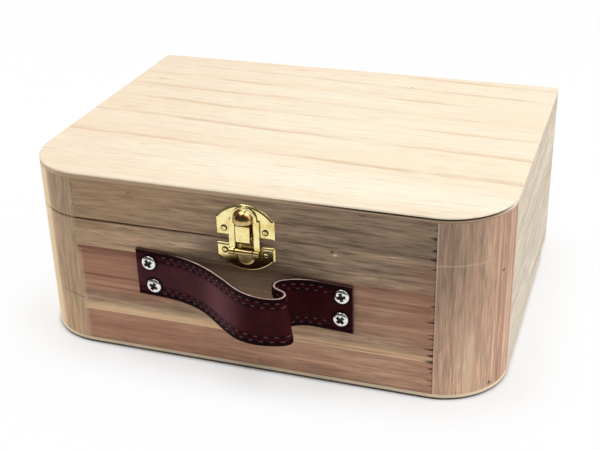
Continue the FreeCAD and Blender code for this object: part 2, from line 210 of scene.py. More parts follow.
# The lid's top and the case's bottom: thin pale panels of soft white wood, one board wide, sawn so
# that warm year rings run from end to end. They are glued on over the frame and sanded flush with it.
def dress(material, *nodes):
    """Puts one material on CAD pieces."""
    for node in nodes:
        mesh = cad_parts[node].data
        mesh.materials.clear()
        mesh.materials.append(material)


def sawn_wood(name, axes, pale, warm, line, pith, ring_pitch, ring_share, fine_share, seed,
              band_share=0.0, wander=0.004, slant=0.0, glue_lines=(), marks=None):
    """Bare planed wood. axes: along the grain, across the face, through the board."""
    material, bench = blank_material(name)
    place = bench.make("ShaderNodeTexCoord", out="Object")
    side = {axis: place.make("ShaderNodeSeparateXYZ", None, {"Vector": place}, out=axis.upper())
            for axis in "xyz"}
    facing = bench.make("ShaderNodeTexCoord", out="Normal")
    side["level"] = abs(facing.make("ShaderNodeSeparateXYZ", None, {"Vector": facing}, out="Z"))
    along, across, through = (side[axis] for axis in axes)
    across = across + along * slant
    for height in glue_lines:
        along = along + side["z"].rises(height, height + 0.0002) * 0.37

    def cloud(along_scale, cross_scale, detail=2.0):
        spot = bench.make("ShaderNodeCombineXYZ", None, {
            "X": along * along_scale + seed, "Y": across * cross_scale, "Z": through * cross_scale})
        return spot.make("ShaderNodeTexNoise", None, {"Vector": spot, "Scale": 1.0, "Detail": detail})

    reach = ((across - pith[0]) ** 2.0 + (through - pith[1]) ** 2.0) ** 0.5
    years = (reach + (cloud(2.0, 9.0, 0.0) - 0.5) * wander * 4
             + (cloud(18.0, 90.0) - 0.5) * wander) / ring_pitch
    ring = years.math("FRACT")
    late = ring.rises(0.2, 0.94) * (1 - ring.rises(0.94, 1.0))
    streak = cloud(3.0, 45.0).rises(0.36, 0.66)
    strand = cloud(50.0, 620.0, 3.0)
    fibre = cloud(110.0, 1900.0, 3.0)
    pore = cloud(130.0, 2300.0, 1.0).rises(0.62, 0.70)

    colour = streak.blend(pale, warm)
    faint = (years * 3.6).math("FRACT").near(0.5, 0.22) * cloud(11.0, 90.0).rises(0.42, 0.66)
    broken = 0.12 + cloud(22.0, 140.0).rises(0.38, 0.62) * 0.88
    year_line = (late ** 24.0 * 0.85 + late ** 4.0 * 0.10) * broken
    year_line = year_line + faint * 0.22
    colour = (year_line * ring_share).blend(colour, line)
    seep = cloud(70.0, 900.0).rises(0.54, 0.70) * cloud(9.0, 120.0).rises(0.38, 0.58)
    colour = (seep * min(0.6, fine_share * 0.4)).blend(colour, line)
    colour = colour.shaded(1.0 + (strand - 0.5) * (fine_share * 1.3) + (fibre - 0.5) * fine_share
                           + (cloud(7.0, 240.0, 4.0) - 0.5) * band_share)
    colour = (pore * min(0.6, fine_share * 0.5)).blend(colour, line)
    if marks:
        colour = marks(colour, side, cloud)
    relief = bench.make("ShaderNodeBump", None, {
        "Strength": 0.3, "Distance": 0.0002, "Height": fibre * 0.6 + strand * 0.3 - pore * 0.8})
    face = bench.make("ShaderNodeBsdfPrincipled", None, {
        "Base Color": colour, "Roughness": 0.58 + fibre * 0.2, "Normal": relief,
        "Specular IOR Level": 0.3})
    bench.make("ShaderNodeOutputMaterial", None, {"Surface": face})
    return material


panel_pale = tint(247, 236, 214)
panel_warm = tint(245, 229, 203)
panel_line = tint(212, 170, 126)
panel_blush = tint(238, 206, 172)
panel_edge = tint(203, 173, 140)
panel_dark_arris = tint(56, 38, 27)
panel_foot = tint(150, 124, 100)
bottom_edge_highlight = tint(255, 235, 205)
panel_fleck = tint(214, 164, 124)
painted_contact_shadow = tint(44, 33, 22)
top_nick = (0.0375, 0.0631)
nick_reach = 0.0009
nick_brown = tint(120, 92, 62)


def top_marks(colour, side, cloud):
    """A pinker left end, browned edges, a dark line along the front arris towards the right and one small
    nick.
    """
    pink = 1 - side["x"].rises(-0.11, 0.02)
    colour = (pink * 0.3).blend(colour, panel_blush)
    upright = (1 - side["level"].rises(0.3, 0.6)) * (1 - side["y"].rises(-0.075, -0.055))
    dark_arris = upright * side["z"].rises(0.0853, 0.0859) * side["x"].rises(0.0, 0.055)
    fleck = cloud(60.0, 1000.0).rises(0.56, 0.68) * (0.3 + cloud(5.0, 70.0).rises(0.45, 0.6) * 0.7)
    colour = (fleck * (0.32 + pink * 0.25)).blend(colour, panel_fleck)
    colour = upright.blend(colour, panel_edge)
    foot = upright * (1 - side["z"].rises(0.0848, 0.0854)) * side["x"].rises(-0.02, 0.04)
    colour = (foot * 0.8).blend(colour, panel_foot)
    colour = dark_arris.blend(colour, panel_dark_arris)
    nick = side["x"].near(top_nick[0], nick_reach) * side["y"].near(top_nick[1], nick_reach)
    return nick.blend(colour, nick_brown)


def bottom_marks(colour, side, cloud):
    """A pale edge, painted a touch lighter as a highlight, with a painted contact shadow along its lower
    arris.
    """
    upright = 1 - side["level"].rises(0.8, 0.95)
    colour = upright.blend(colour, bottom_edge_highlight)
    return (upright * (1 - side["z"].rises(0.0006, 0.0012)) * 0.95).blend(colour, painted_contact_shadow)


dress(sawn_wood("top_panel_wood", "xyz", panel_pale, panel_warm, panel_line,
                pith=(-0.0825, -0.013), ring_pitch=-0.0137, ring_share=0.62, fine_share=0.2, seed=3.1,
                band_share=0.10, wander=0.0026, slant=0.045, marks=top_marks),
      "top_panel")
dress(sawn_wood("bottom_panel_wood", "xyz", panel_pale, panel_warm, panel_line,
                pith=(-0.05, 0.09), ring_pitch=0.011, ring_share=0.7, fine_share=0.2, seed=11.7,
                marks=bottom_marks), "bottom_panel")


# The front boards: browner wood with the grain lying along the case, planed and left bare. The base's
# board is glued up from three strips whose tones differ, and the ends butt against the corner blocks.
front_light = tint(212, 180, 150)
front_pale = tint(198, 168, 138)
front_warm = tint(182, 148, 120)
front_line = tint(118, 88, 68)
front_red = tint(194, 135, 108)
front_tan = tint(202, 162, 120)
front_olive = tint(190, 164, 130)
front_dark = tint(124, 76, 60)
front_cream = tint(234, 199, 156)
front_gap = tint(70, 48, 36)
front_chip = tint(255, 232, 200)
front_scar = tint(54, 30, 22)
half_depth = 0.0825
joint_x = 0.0825
strip_joints = (0.0181, 0.0515)


def joint_ticks(colour, side, cloud):
    """Torn grain at the board's right end, thin dark joints, and a darker band along the parting line at
    the left.
    """
    torn = (side["x"] - joint_x + (cloud(0.0, 620.0) - 0.53) * 0.029).rises(0.0, 0.0008)
    torn = torn * side["x"].rises(joint_x - 0.0060, joint_x - 0.0006)
    torn = torn * (1 - side["y"].rises(-0.0824, -0.0818))
    seam = side["x"].rises(joint_x - 0.0008, joint_x)
    joint = side["z"].near(0.0845, 0.0006) + side["z"].near(0.0025, 0.0006)
    parting = side["z"].near(0.0650, 0.0010) * (1 - side["x"].rises(-0.05, 0.01))
    colour = (seam * 0.5 + joint * 0.25 + parting * 0.5).blend(colour, front_gap)
    return (torn * 0.9).blend(colour, front_scar)


def clasp_shade(side):
    """Painted shade round the clasp and to its right, where the clasp and strap shade the board."""
    return side["x"].near(0.006, 0.042) * side["z"].near(0.0590, 0.0160)


def rightward(side):
    return side["x"].rises(0.004, 0.030)


def lid_front_marks(colour, side, cloud):
    """Browner to the right, a painted clasp shadow and a painted lighter lower edge there, a pin mark,
    flecks and a chip.
    """
    dot = side["x"].near(-0.0541, 0.0008) * side["z"].near(0.0806, 0.0008)
    chip = side["x"].near(0.0384, 0.0012) * side["z"].near(0.0652, 0.0011)
    flecks = (side["x"].near(0.0515, 0.0035) * side["z"].near(0.0837, 0.0007)
              + side["x"].near(0.0572, 0.0022) * side["z"].near(0.0812, 0.0006) * 0.7)
    dashes = 1 - side["x"].rises(-joint_x + 0.0002, -joint_x + 0.0008)
    dashes = dashes * cloud(0.0, 560.0).rises(0.5, 0.54)
    left_end = 1 - side["x"].rises(-0.05, 0.02)
    colour = (left_end * 0.4).blend(colour, front_tan)
    colour = colour.shaded(0.88 - side["x"].rises(-0.07, 0.07) * 0.26
                           + left_end * side["z"].rises(0.073, 0.080) * 0.10)
    # Painted shade round the clasp, and a painted shadow of the clasp on the lid to its right.
    colour = colour.shaded(1 - clasp_shade(side) * 0.24
                           - side["z"].near(0.0700, 0.0034) * rightward(side) * 0.16)
    # The lid's lower edge right of the clasp, painted lighter as light caught on the edge.
    colour = colour.shaded(1 + rightward(side) * (1 - side["z"].rises(0.0660, 0.0676)) * 0.30)
    colour = (dot * 0.7 + chip * 0.85 + dashes * 0.6 + flecks * 0.7).blend(colour, front_gap)
    return joint_ticks(colour, side, cloud)


def base_front_marks(colour, side, cloud):
    """The strips: tan on top, red fading to cream with dark streaks between, red again below."""
    lowest = 1 - side["z"].rises(strip_joints[0], strip_joints[0] + 0.0002)
    highest = side["z"].rises(strip_joints[1], strip_joints[1] + 0.0002)
    middle = (1 - highest) * (1 - lowest)
    fading = middle * side["z"].rises(0.022, 0.034)
    leftward = 1 - side["x"].rises(-0.05, 0.07) * 0.6
    colour = colour.shaded(1.0 - side["x"].rises(-0.06, 0.06) * (0.13 + highest * 0.15))
    # Painted shade round the clasp, and a darker band below the parting.
    colour = colour.shaded(1 - clasp_shade(side) * 0.36 - side["z"].near(0.0625, 0.0038) * 0.22)
    left_end = 1 - side["x"].rises(-0.06, -0.02)
    colour = colour.shaded(1 + lowest * side["x"].near(0.015, 0.055) * 0.10
                           + lowest * (1 - side["z"].rises(0.008, 0.015)) * 0.13 + lowest * 0.21
                           + left_end * side["z"].near(0.0545, 0.003) * 0.22)
    colour = colour.shaded(1 + left_end * side["z"].near(0.0340, 0.0035) * 0.28
                           - left_end * side["z"].near(0.0462, 0.0030) * 0.42
                           + left_end * side["z"].near(0.0502, 0.0022) * 0.25
                           + rightward(side) * side["z"].near(0.0335, 0.0060) * 0.10
                           - side["x"].rises(0.03, 0.06) * side["z"].near(0.0502, 0.0035) * 0.32)
    colour = (rightward(side) * (1 - highest) * 0.16).blend(colour, front_red)
    colour = (left_end * highest * 0.35).blend(colour, front_tan)
    colour = (side["x"].rises(0.060, 0.080) * 0.3).blend(colour, front_red).shaded(
        1 - side["x"].rises(0.068, 0.081) * 0.10)
    colour = (lowest * 0.75 * leftward).blend(colour, front_red)
    colour = (fading * 0.75 * leftward).blend(colour, front_red)
    dark_streak = fading * leftward * cloud(8.0, 420.0, 4.0).rises(0.44, 0.66)
    colour = (dark_streak * 0.8).blend(colour, front_dark)
    cream = side["z"].near(0.0198, 0.006) * middle + side["z"].near(strip_joints[0] + 0.0004, 0.0005) * 0.4
    cream = cream * (1 - rightward(side) * cloud(14.0, 520.0, 3.0).rises(0.38, 0.60) * 0.5)
    colour = (cream * 0.62).blend(colour, front_cream).shaded(1 + cream * 0.34)
    behind_strap = side["x"].near(-0.004, 0.034) * side["z"].near(0.0450, 0.0125)
    colour = (behind_strap * 0.75).blend(colour, front_olive)
    # Painted shadow above the strap's right end and left of the clasp's lower plate.
    colour = colour.shaded(1 - side["x"].near(0.027, 0.018) * side["z"].near(0.0515, 0.0050) * 0.45
                           - side["x"].near(-0.016, 0.014) * side["z"].near(0.0580, 0.0050) * 0.28)
    chip = side["x"].near(0.0396, 0.0015) * side["z"].near(0.0639, 0.0011)
    colour = chip.blend(colour, front_chip)
    sap_end = (1 - side["x"].rises(-0.0818, -0.0800)) * (1 - side["z"].rises(0.046, 0.052))
    colour = (sap_end * 0.45).blend(colour, front_cream)
    return joint_ticks(colour, side, cloud)


dress(sawn_wood("lid_front_wood", "xzy", front_pale, front_warm, front_line,
                pith=(0.03, 0.05), ring_pitch=0.0065, ring_share=0.5, fine_share=1.2, seed=5.3,
                band_share=0.8, marks=lid_front_marks),
      "lid_front_board")
dress(sawn_wood("base_front_wood", "xzy", front_light, front_pale, front_line,
                pith=(-0.02, 0.06), ring_pitch=0.0075, ring_share=0.5, fine_share=1.2, seed=8.9,
                band_share=1.5, glue_lines=strip_joints, marks=base_front_marks), "base_front_board")


# The side and back boards: the same soft wood in its paler cut, grain lying along each wall, sawn
# through once with the lid on, so the pattern runs on across the parting line.
wall_pale = tint(220, 208, 190)
wall_warm = tint(210, 195, 174)
wall_line = tint(176, 153, 126)
for wall, axes, pith, seed in (("left", "yzx", (0.10, -0.03), 2.2), ("right", "yzx", (-0.04, 0.03), 6.4),
                               ("back", "xzy", (0.12, 0.02), 9.6)):
    dress(sawn_wood(f"{wall}_wall_wood", axes, wall_pale, wall_warm, wall_line,
                    pith=pith, ring_pitch=0.009, ring_share=0.45, fine_share=0.7, seed=seed,
                    band_share=0.4, wander=0.006),
          f"base_{wall}_board", f"lid_{wall}_board")


# The corner blocks: solid posts with upright grain, rounded on the outside after gluing. Like the
# walls they were sawn into base and lid afterwards, so one pattern crosses both halves.
block_pale = tint(218, 186, 158)
block_warm = tint(204, 168, 142)
block_line = tint(150, 110, 88)
block_red = tint(180, 130, 113)
block_vein = tint(140, 84, 68)
yellow_pale = tint(212, 182, 148)
yellow_warm = tint(198, 164, 130)
block_sap = tint(240, 214, 182)
block_painted_highlight = tint(236, 209, 168)
block_gap = tint(74, 52, 40)
block_knot = tint(42, 26, 20)


def left_block_marks(colour, side, cloud):
    """A yellower post, paler towards its foot, with a painted highlight as a pale streak down the corner's
    left turn, and a hairline check.
    """
    check = (side["z"] + side["x"] * 0.1 + (cloud(0.0, 160.0) - 0.5) * 0.0012).near(0.0156, 0.0004)
    # A painted highlight: a pale streak down the left turn of the rounded corner, grained like the wood.
    streak = (1 - side["x"].rises(-0.0982, -0.0962)) * side["x"].rises(-0.1088, -0.1070)
    colour = colour.shaded(0.94 + (1 - side["z"].rises(0.055, 0.085)) * 0.16
                           + (1 - side["z"].rises(0.0, 0.04)) * 0.30
                           - side["x"].rises(-0.1000, -0.0940) * 0.22
                           + side["x"].rises(-0.0920, -0.0880) * 0.06)
    colour = (streak * 0.85).blend(colour, block_painted_highlight)
    colour = colour.shaded(1 + streak * (cloud(9.0, 420.0, 4.0) - 0.5) * 0.3)
    return (check * side["x"].rises(-0.097, -0.094) * 0.7).blend(colour, block_gap)


def right_block_marks(colour, side, cloud):
    """Red heartwood towards the side wall, a pale sap streak, two pin knots, and sawn edges broken pale,
    painted lighter still as caught light.
    """
    foot = 0.71 + (1 - side["z"].rises(0.0, 0.070)) * 0.58
    outer = 0.97 + (1 - side["z"].rises(0.0, 0.080)) * 0.22
    turned_away = side["y"].rises(-0.081, -0.070)
    colour = colour.shaded(foot * (1 - turned_away) + outer * turned_away)
    heart = side["y"].rises(-0.069, -0.063) * cloud(4.0, 300.0).rises(0.35, 0.6)
    vein = side["y"].rises(-0.073, -0.066) * cloud(5.0, 560.0, 3.0).rises(0.50, 0.62)
    sap = side["x"].near(0.0968, 0.0024) * (1 - side["z"].rises(0.024, 0.044))
    # The broken edges along the parting: pale wood, painted lighter still as light caught on the edges,
    # against the gap's shade.
    broken = side["z"].near(0.0652, 0.0009) * (1 - side["y"].rises(-0.078, -0.066))
    knots = sum(side["y"].near(y, 0.0012) * side["z"].near(z, 0.0012)
                for y, z in ((-0.0649, 0.0581), (-0.0694, 0.0045)))
    colour = (heart * 0.65).blend(colour, block_red)
    colour = (vein * 0.5).blend(colour, block_vein)
    joint_edge = 1 - side["x"].rises(joint_x + 0.0002, joint_x + 0.0010)
    colour = (sap * 0.6 + broken * 0.28 + joint_edge * 0.4).blend(colour, block_sap)
    return knots.blend(colour, block_knot)


for block, pale, warm, pith, seed, marks in (
        ("left", yellow_pale, yellow_warm, (-0.06, -0.03), 1.7, left_block_marks),
        ("right", block_pale, block_warm, (0.062, -0.045), 4.5, right_block_marks)):
    dress(sawn_wood(f"{block}_block_wood", "zxy", pale, warm, block_line,
                    pith=pith, ring_pitch=0.005, ring_share=0.2, fine_share=0.8, seed=seed,
                    band_share=0.2, marks=marks),
          f"base_{block}_corner_block", f"lid_{block}_corner_block")


# The lid's seat: the lid was sawn off a touch askew, so the parting line is open at the left and closes
# right of the clasp, where the lid's wood comes down on the base and its lip fills the broken edge.
def seated(node, cuts=()):
    """A copy of a lid piece whose lower edge comes down on the base, right of the clasp."""
    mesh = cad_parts[node].data.copy()
    saw = bmesh.new()
    saw.from_mesh(mesh)
    bmesh.ops.dissolve_limit(saw, angle_limit=radians(0.1), verts=saw.verts[:], edges=saw.edges[:])
    for cut in cuts:
        bmesh.ops.bisect_plane(saw, geom=saw.verts[:] + saw.edges[:] + saw.faces[:],
                               plane_co=(cut, 0, 0), plane_no=(1, 0, 0))
    saw.to_mesh(mesh)
    saw.free()
    mesh.attributes.remove(mesh.attributes["custom_normal"])
    for corner in mesh.vertices:
        share = min(1.0, max(0.0, (corner.co.x - seat_start) / (seat_end - seat_start)))
        height = (corner.co.z - lid_bottom) / lid_arris
        if height < 1.1:
            corner.co.z -= share * (seat_drop + height * lip_drop)
    piece = bpy.data.objects.new(f"{node}_seated", mesh)
    bpy.context.scene.collection.objects.link(piece)
    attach(piece, "lid")
    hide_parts(node)


lid_bottom, lid_arris = 0.0652, 0.0005
seat_drop, lip_drop = 0.00032, 0.0010
seat_start, seat_end = -0.020, 0.020
seated("lid_front_board", cuts=(seat_start, seat_end))
seated("lid_right_corner_block")
seated("lid_right_board")


# The back hinges: two small butt hinges in thin pressed brass, each of two leaves with rolled
# knuckles on a brass pin. The clasp is of the same brass.
brass_clear = tint(248, 232, 170)
brass_dull = tint(226, 200, 124)
brass_crevice_shade = tint(74, 54, 26)
brass_brown = tint(150, 108, 62)


def brass(name, browning=None):
    """Lacquered brass with fine brushing, painted shade in its corners and, where asked, browned places."""
    material, bench = blank_material(name)
    place = bench.make("ShaderNodeTexCoord", out="Object")
    brushing = place.make("ShaderNodeMapping", None, {"Vector": place, "Scale": (400.0, 400.0, 2600.0)})
    hairline = brushing.make("ShaderNodeTexNoise", None, {"Vector": brushing, "Scale": 1.0, "Detail": 3.0})
    bloom = place.make("ShaderNodeTexNoise", None, {"Vector": place, "Scale": 260.0, "Detail": 3.0})
    tone = bloom.rises(0.4, 0.75).blend(brass_clear, brass_dull)
    dulled = 0.0
    if browning:
        browned, dulled = browning(place, bloom)
        tone = browned.blend(tone, brass_brown)
    # Painted shade in corners and crevices, from an occlusion mask, with the brass rougher there.
    crevice = 1 - bench.make("ShaderNodeAmbientOcclusion", {"samples": 16}, {"Distance": 0.0016}, out="AO")
    crevice = crevice.rises(0.30, 0.80)
    tone = (crevice * 0.85).blend(tone, brass_crevice_shade)
    relief = bench.make("ShaderNodeBump", None, {"Strength": 0.06, "Distance": 0.00005, "Height": hairline})
    face = bench.make("ShaderNodeBsdfPrincipled", None, {
        "Base Color": tone, "Metallic": 1.0, "Normal": relief,
        "Roughness": 0.12 + hairline * 0.08 + bloom.rises(0.5, 0.8) * 0.12 + crevice * 0.25
                     + dulled})
    bench.make("ShaderNodeOutputMaterial", None, {"Surface": face})
    return material


polished_brass = brass("polished_brass")
dress(polished_brass, *[f"{hand}_hinge_{part}" for hand in ("left", "right")
                        for part in ("lid_leaf", "base_leaf", "pin")])

# The clasp: an upper plate with a bent hook on the lid, a lower plate with a boss on the base, and a
# stamped hasp on a pin whose hollow hood snaps over the hook. Polished and lacquered brass.
hood_rim, knuckle_top, boss_top = 0.0750, 0.0626, 0.0593


def clasp_browning(place, bloom):
    """Shares of brown and of dullness: a browned hood and knuckles and a dull browned boss."""
    across, out, height = (place.make("ShaderNodeSeparateXYZ", None, {"Vector": place}, out=axis)
                           for axis in "XYZ")
    out = out * -1.0 - half_depth
    proud = out.rises(0.0022, 0.0032)
    hood = height.rises(hood_rim - 0.0004, hood_rim) * proud
    knuckle = (1 - height.rises(knuckle_top - 0.0006, knuckle_top)) * proud
    boss = (1 - height.rises(boss_top - 0.0003, boss_top)) * across.near(0.0, 0.0056)
    boss = boss * out.rises(0.0010, 0.0013)
    browned = hood * (0.55 + bloom.rises(0.4, 0.65) * 0.35) + knuckle * 0.6 + boss * 0.8
    return browned, hood * 0.03 + knuckle * 0.02 + boss * 0.30


dress(polished_brass, "clasp_upper_plate", "clasp_pin")
dress(brass("browned_brass", clasp_browning), "clasp_lower_plate", "clasp_hasp")
for node, passes in (("clasp_upper_plate", 12), ("clasp_lower_plate", 12), ("clasp_hasp", 40)):
    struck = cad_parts[node].modifiers.new("struck_edges", 'REMESH')
    struck.mode = 'VOXEL'
    struck.voxel_size = 0.00012
    struck.use_smooth_shade = True
    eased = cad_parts[node].modifiers.new("eased_edges", 'SMOOTH')
    eased.factor = 0.5
    eased.iterations = passes


# The small nails: round-headed brass pins that hold the clasp plates and hinge leaves to the wood,
# driven through pilot holes, two to each plate or leaf.
def turned(profile, sides):
    """Verts and faces of a solid turned about z, from (radius, height) points, tip to tip."""
    points = [(0.0, 0.0, profile[0][1])]
    for radius, height in profile:
        points += [(radius * cos(2 * pi * k / sides), radius * sin(2 * pi * k / sides), height)
                   for k in range(sides)]
    points.append((0.0, 0.0, profile[-1][1]))
    last = len(points) - 1
    faces = [(0, 1 + (k + 1) % sides, 1 + k) for k in range(sides)]
    for row in range(len(profile) - 1):
        low, high = 1 + row * sides, 1 + (row + 1) * sides
        faces += [(low + k, low + (k + 1) % sides, high + (k + 1) % sides, high + k) for k in range(sides)]
    faces += [(last, last - sides + k, last - sides + (k + 1) % sides) for k in range(sides)]
    return points, faces


def add_piece(name, points, faces, materials, body, crease=35.0):
    """A mesh piece, smooth but for edges sharper than crease, that moves with a body."""
    mesh = bpy.data.meshes.new(name)
    mesh.from_pydata(points, [], faces)
    mesh.polygons.foreach_set("use_smooth", [True] * len(mesh.polygons))
    mesh.set_sharp_from_angle(angle=radians(crease))
    for material in materials:
        mesh.materials.append(material)
    piece = bpy.data.objects.new(name, mesh)
    bpy.context.scene.collection.objects.link(piece)
    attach(piece, body)
    return piece


def copies(points, faces, places):
    """The same solid set down at several places, as one list of points and faces."""
    all_points, all_faces = [], []
    for matrix in places:
        start = len(all_points)
        all_points += [tuple(matrix @ Vector(point)) for point in points]
        all_faces += [tuple(start + corner for corner in face) for face in faces]
    return all_points, all_faces


def on_front(x, out, z, turn=0.0):
    """Local x right, y up and z outward, set on the front at a distance out from the boards."""
    facing = Matrix.Rotation(pi / 2, 4, 'X') @ Matrix.Rotation(turn, 4, 'Z')
    return Matrix.Translation((x, -half_depth - out, z)) @ facing


def on_back(x, out, z):
    return Matrix.Translation((x, half_depth + out, z)) @ Matrix.Rotation(-pi / 2, 4, 'X')


def speckled(name, scale, detail, turns, first, second, metallic, rough, relief=None):
    """Two colours in fine specks. turns: the noise they change between; rough: least and spread."""
    material, bench = blank_material(name)
    place = bench.make("ShaderNodeTexCoord", out="Object")
    speck = place.make("ShaderNodeTexNoise", None, {"Vector": place, "Scale": scale, "Detail": detail})
    sockets = {"Base Color": speck.rises(*turns).blend(tint(*first), tint(*second)),
               "Metallic": metallic, "Roughness": rough[0] + speck * rough[1]}
    if relief:
        strength, distance = relief
        sockets["Normal"] = bench.make("ShaderNodeBump", None, {
            "Strength": strength, "Distance": distance, "Height": speck})
    face = bench.make("ShaderNodeBsdfPrincipled", None, sockets)
    bench.make("ShaderNodeOutputMaterial", None, {"Surface": face})
    return material


nail_shank, nail_length, nail_point = 0.0006, 0.0065, 0.0012
nail_head, nail_crown, nail_rim = 0.0015, 0.00065, 0.0001
crown_steps, nail_sides = 6, 28
nail_profile = [(0.0001, -nail_length), (nail_shank, -nail_length + nail_point), (nail_shank, 0.0),
                (nail_head * 0.96, 0.0)]
for k in range(crown_steps):
    swing = k * pi / 2 / crown_steps
    nail_profile.append((nail_head * cos(swing), nail_rim + (nail_crown - nail_rim) * sin(swing)))
nail_points, nail_faces = turned(nail_profile, nail_sides)
nail_brass = speckled("nail_brass", 900.0, 3.0, (0.35, 0.7), (240, 222, 160), (196, 168, 96),
                      1.0, (0.15, 0.2))
nail_skirt_shade_and_grime = speckled("nail_skirt_shade_and_grime", 1400.0, 3.0, (0.3, 0.7), (44, 34, 20), (92, 72, 40),
                        0.7, (0.45, 0.2))
# The faces low on each head, round its skirt, take the dark speckle: painted shade and grime where the head
# meets the plate.
nail_parts = [int(sum(nail_points[corner][2] for corner in face) / len(face) < nail_crown * 0.72)
              for face in nail_faces]
clasp_nails_x, plate_thickness = (-0.0094, 0.0094), 0.001
upper_nail_z, lower_nail_z = 0.0705, 0.06
hinge_nails_x, leaf_thickness = (-0.069, -0.055, 0.055, 0.069), 0.0008
lid_leaf_z, base_leaf_z = 0.0724, 0.0576
for node, body, places in (
        ("clasp_upper_nails", "lid", [on_front(x, plate_thickness, upper_nail_z) for x in clasp_nails_x]),
        ("clasp_lower_nails", "base", [on_front(x, plate_thickness, lower_nail_z) for x in clasp_nails_x]),
        ("hinge_lid_nails", "lid", [on_back(x, leaf_thickness, lid_leaf_z) for x in hinge_nails_x]),
        ("hinge_base_nails", "base", [on_back(x, leaf_thickness, base_leaf_z) for x in hinge_nails_x])):
    nail_solids = copies(nail_points, nail_faces, places)
    nails = add_piece(f"{node}_turned", *nail_solids, [nail_brass, nail_skirt_shade_and_grime], body)
    nails.data.polygons.foreach_set("material_index", nail_parts * len(places))
    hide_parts(node)


# The carrying strap: two layers of burgundy leather sewn together, screwed down at both ends. Its
# spare length stands off the front in a bow and doubles back in a fold before the right-hand screws.
strap_width, strap_thickness, lining_thickness = 0.0228, 0.0016, 0.0007
strap_left, strap_height, strap_droop = -0.0523, 0.0430, radians(2.35)
lift, crest, fold, tuck = radians(35), radians(60.5), radians(142), radians(124)
left_flat, lift_radius, crest_radius, fold_radius = 0.012, 0.050, 0.023, 0.0024
return_run, tuck_radius, settle_radius, right_flat = 0.003, 0.0049, 0.020, 0.0163
first_fall = crest - lift
steepest = first_fall + fold
settling = steepest - tuck
crest_height = (crest_radius * (1 - cos(first_fall)) + fold_radius * (cos(first_fall) - cos(steepest))
                + return_run * sin(steepest) + tuck_radius * (cos(settling) - cos(steepest))
                + settle_radius * (1 - cos(settling)))
rise_run = (crest_height - (lift_radius + crest_radius) * (1 - cos(lift))) / sin(lift)
strap_runs = ((left_flat, 0), (lift_radius * lift, lift), (rise_run, 0), (crest_radius * crest, -crest),
              (fold_radius * fold, -fold), (return_run, 0), (tuck_radius * tuck, tuck),
              (settle_radius * settling, settling), (right_flat, 0))
strap_ends = np.cumsum([0.0] + [run for run, turn in strap_runs])
strap_turns = np.cumsum([0.0] + [turn for run, turn in strap_runs])
strap_length = strap_ends[-1]
strap_step = 0.0004
bend_window, twist_window, lean_window = 7, 41, 21
stations = np.linspace(0.0, strap_length, int(strap_length / strap_step) + 1)


def smoothed(places, values, window):
    """Values between given places along the strap, at every station, with the corners rounded off."""
    path = np.pad(np.interp(stations, places, values), window // 2, mode="edge")
    return np.convolve(path, np.ones(window) / window, mode="valid")


bearing = smoothed(strap_ends, strap_turns, bend_window)
pace = stations[1]
route_along = np.concatenate([[0.0], np.cumsum(np.cos((bearing[1:] + bearing[:-1]) / 2)) * pace])
route_out = np.concatenate([[0.0], np.cumsum(np.sin((bearing[1:] + bearing[:-1]) / 2)) * pace])
route_out -= route_out[-1] * stations / strap_length
fold_place = (strap_ends[4] + strap_ends[5]) / 2
twist_knots = ((0.014, 0.0), (0.036, 0.0001), (0.058, 0.0020), (fold_place, -0.0009),
               (fold_place + 0.014, 0.0010), (fold_place + 0.030, 0.0))
lean_knots = ((0.0, 0.0006), (0.012, 0.0), (0.045, 0.0), (fold_place, 0.0018), (fold_place + 0.010, 0.0016),
              (fold_place + 0.025, 0.0), (strap_length - 0.010, 0.0), (strap_length, 0.0006))
slip_knots = ((0.030, 0.0), (fold_place, -0.0012), (fold_place + 0.012, 0.0), (strap_length - 0.010, 0.0),
              (strap_length, 0.0006))
twist = smoothed(*zip(*twist_knots), twist_window)
lean = smoothed(*zip(*lean_knots), lean_window)
slip = smoothed(*zip(*slip_knots), lean_window)


def strap_spot(along, across):
    """The x and z of a place along and across the drooping strap."""
    return (strap_left + along * cos(strap_droop) + across * sin(strap_droop),
            strap_height - along * sin(strap_droop) + across * cos(strap_droop))


def on_strap(station, across, depth):
    """World point on the strap: along its length, across it (up is +) and out from its back face."""
    angle = np.interp(station, stations, bearing)
    share = across / (strap_width / 2)
    along = np.interp(station, stations, route_along + slip - lean * share) - depth * sin(angle)
    out = np.interp(station, stations, route_out - twist * share) + depth * cos(angle)
    x, z = strap_spot(along, across)
    return x, -half_depth - out, z


stitch_rows = [hand * (strap_width / 2 - inset) for hand in (-1, 1) for inset in (0.0022, 0.0044)]
groove_depth, groove_reach = 0.0002, 0.0006
margin_from = stitch_rows[2] + groove_reach * 0.8
sewn_from, sewn_to = 0.0105, strap_length - 0.0088
corner_round = 0.0005
face_half = strap_width / 2 - corner_round
face_steps, back_steps, corner_steps = 61, 25, 4
skin, cut, lining, groove, margin = range(5)
outline, edge = [], []
for across in np.linspace(-face_half, face_half, face_steps):
    sink = sum(groove_depth * max(0.0, 1 - ((across - row) / groove_reach) ** 2) for row in stitch_rows)
    part = margin if abs(across) > margin_from else groove if sink > groove_depth * 0.3 else skin
    outline.append((across, strap_thickness - sink, part))
for k in range(1, corner_steps + 1):
    swing = k * pi / 2 / corner_steps
    edge.append((face_half + corner_round * sin(swing),
                 strap_thickness - corner_round * (1 - cos(swing)), margin if k < 3 else cut))
edge += [(strap_width / 2 - 0.00005, 0.0009, cut), (strap_width / 2 - 0.00016, lining_thickness, lining),
         (strap_width / 2 - 0.00005, 0.0005, lining), (strap_width / 2 - 0.0001, 0.0002, lining)]
outline += edge
outline += [(across, 0.0, lining) for across in np.linspace(face_half, -face_half, back_steps)]
outline += [(-across, depth, part) for across, depth, part in reversed(edge)]
strap_points = [on_strap(station, across, depth) for station in stations for across, depth, part in outline]
around = len(outline)
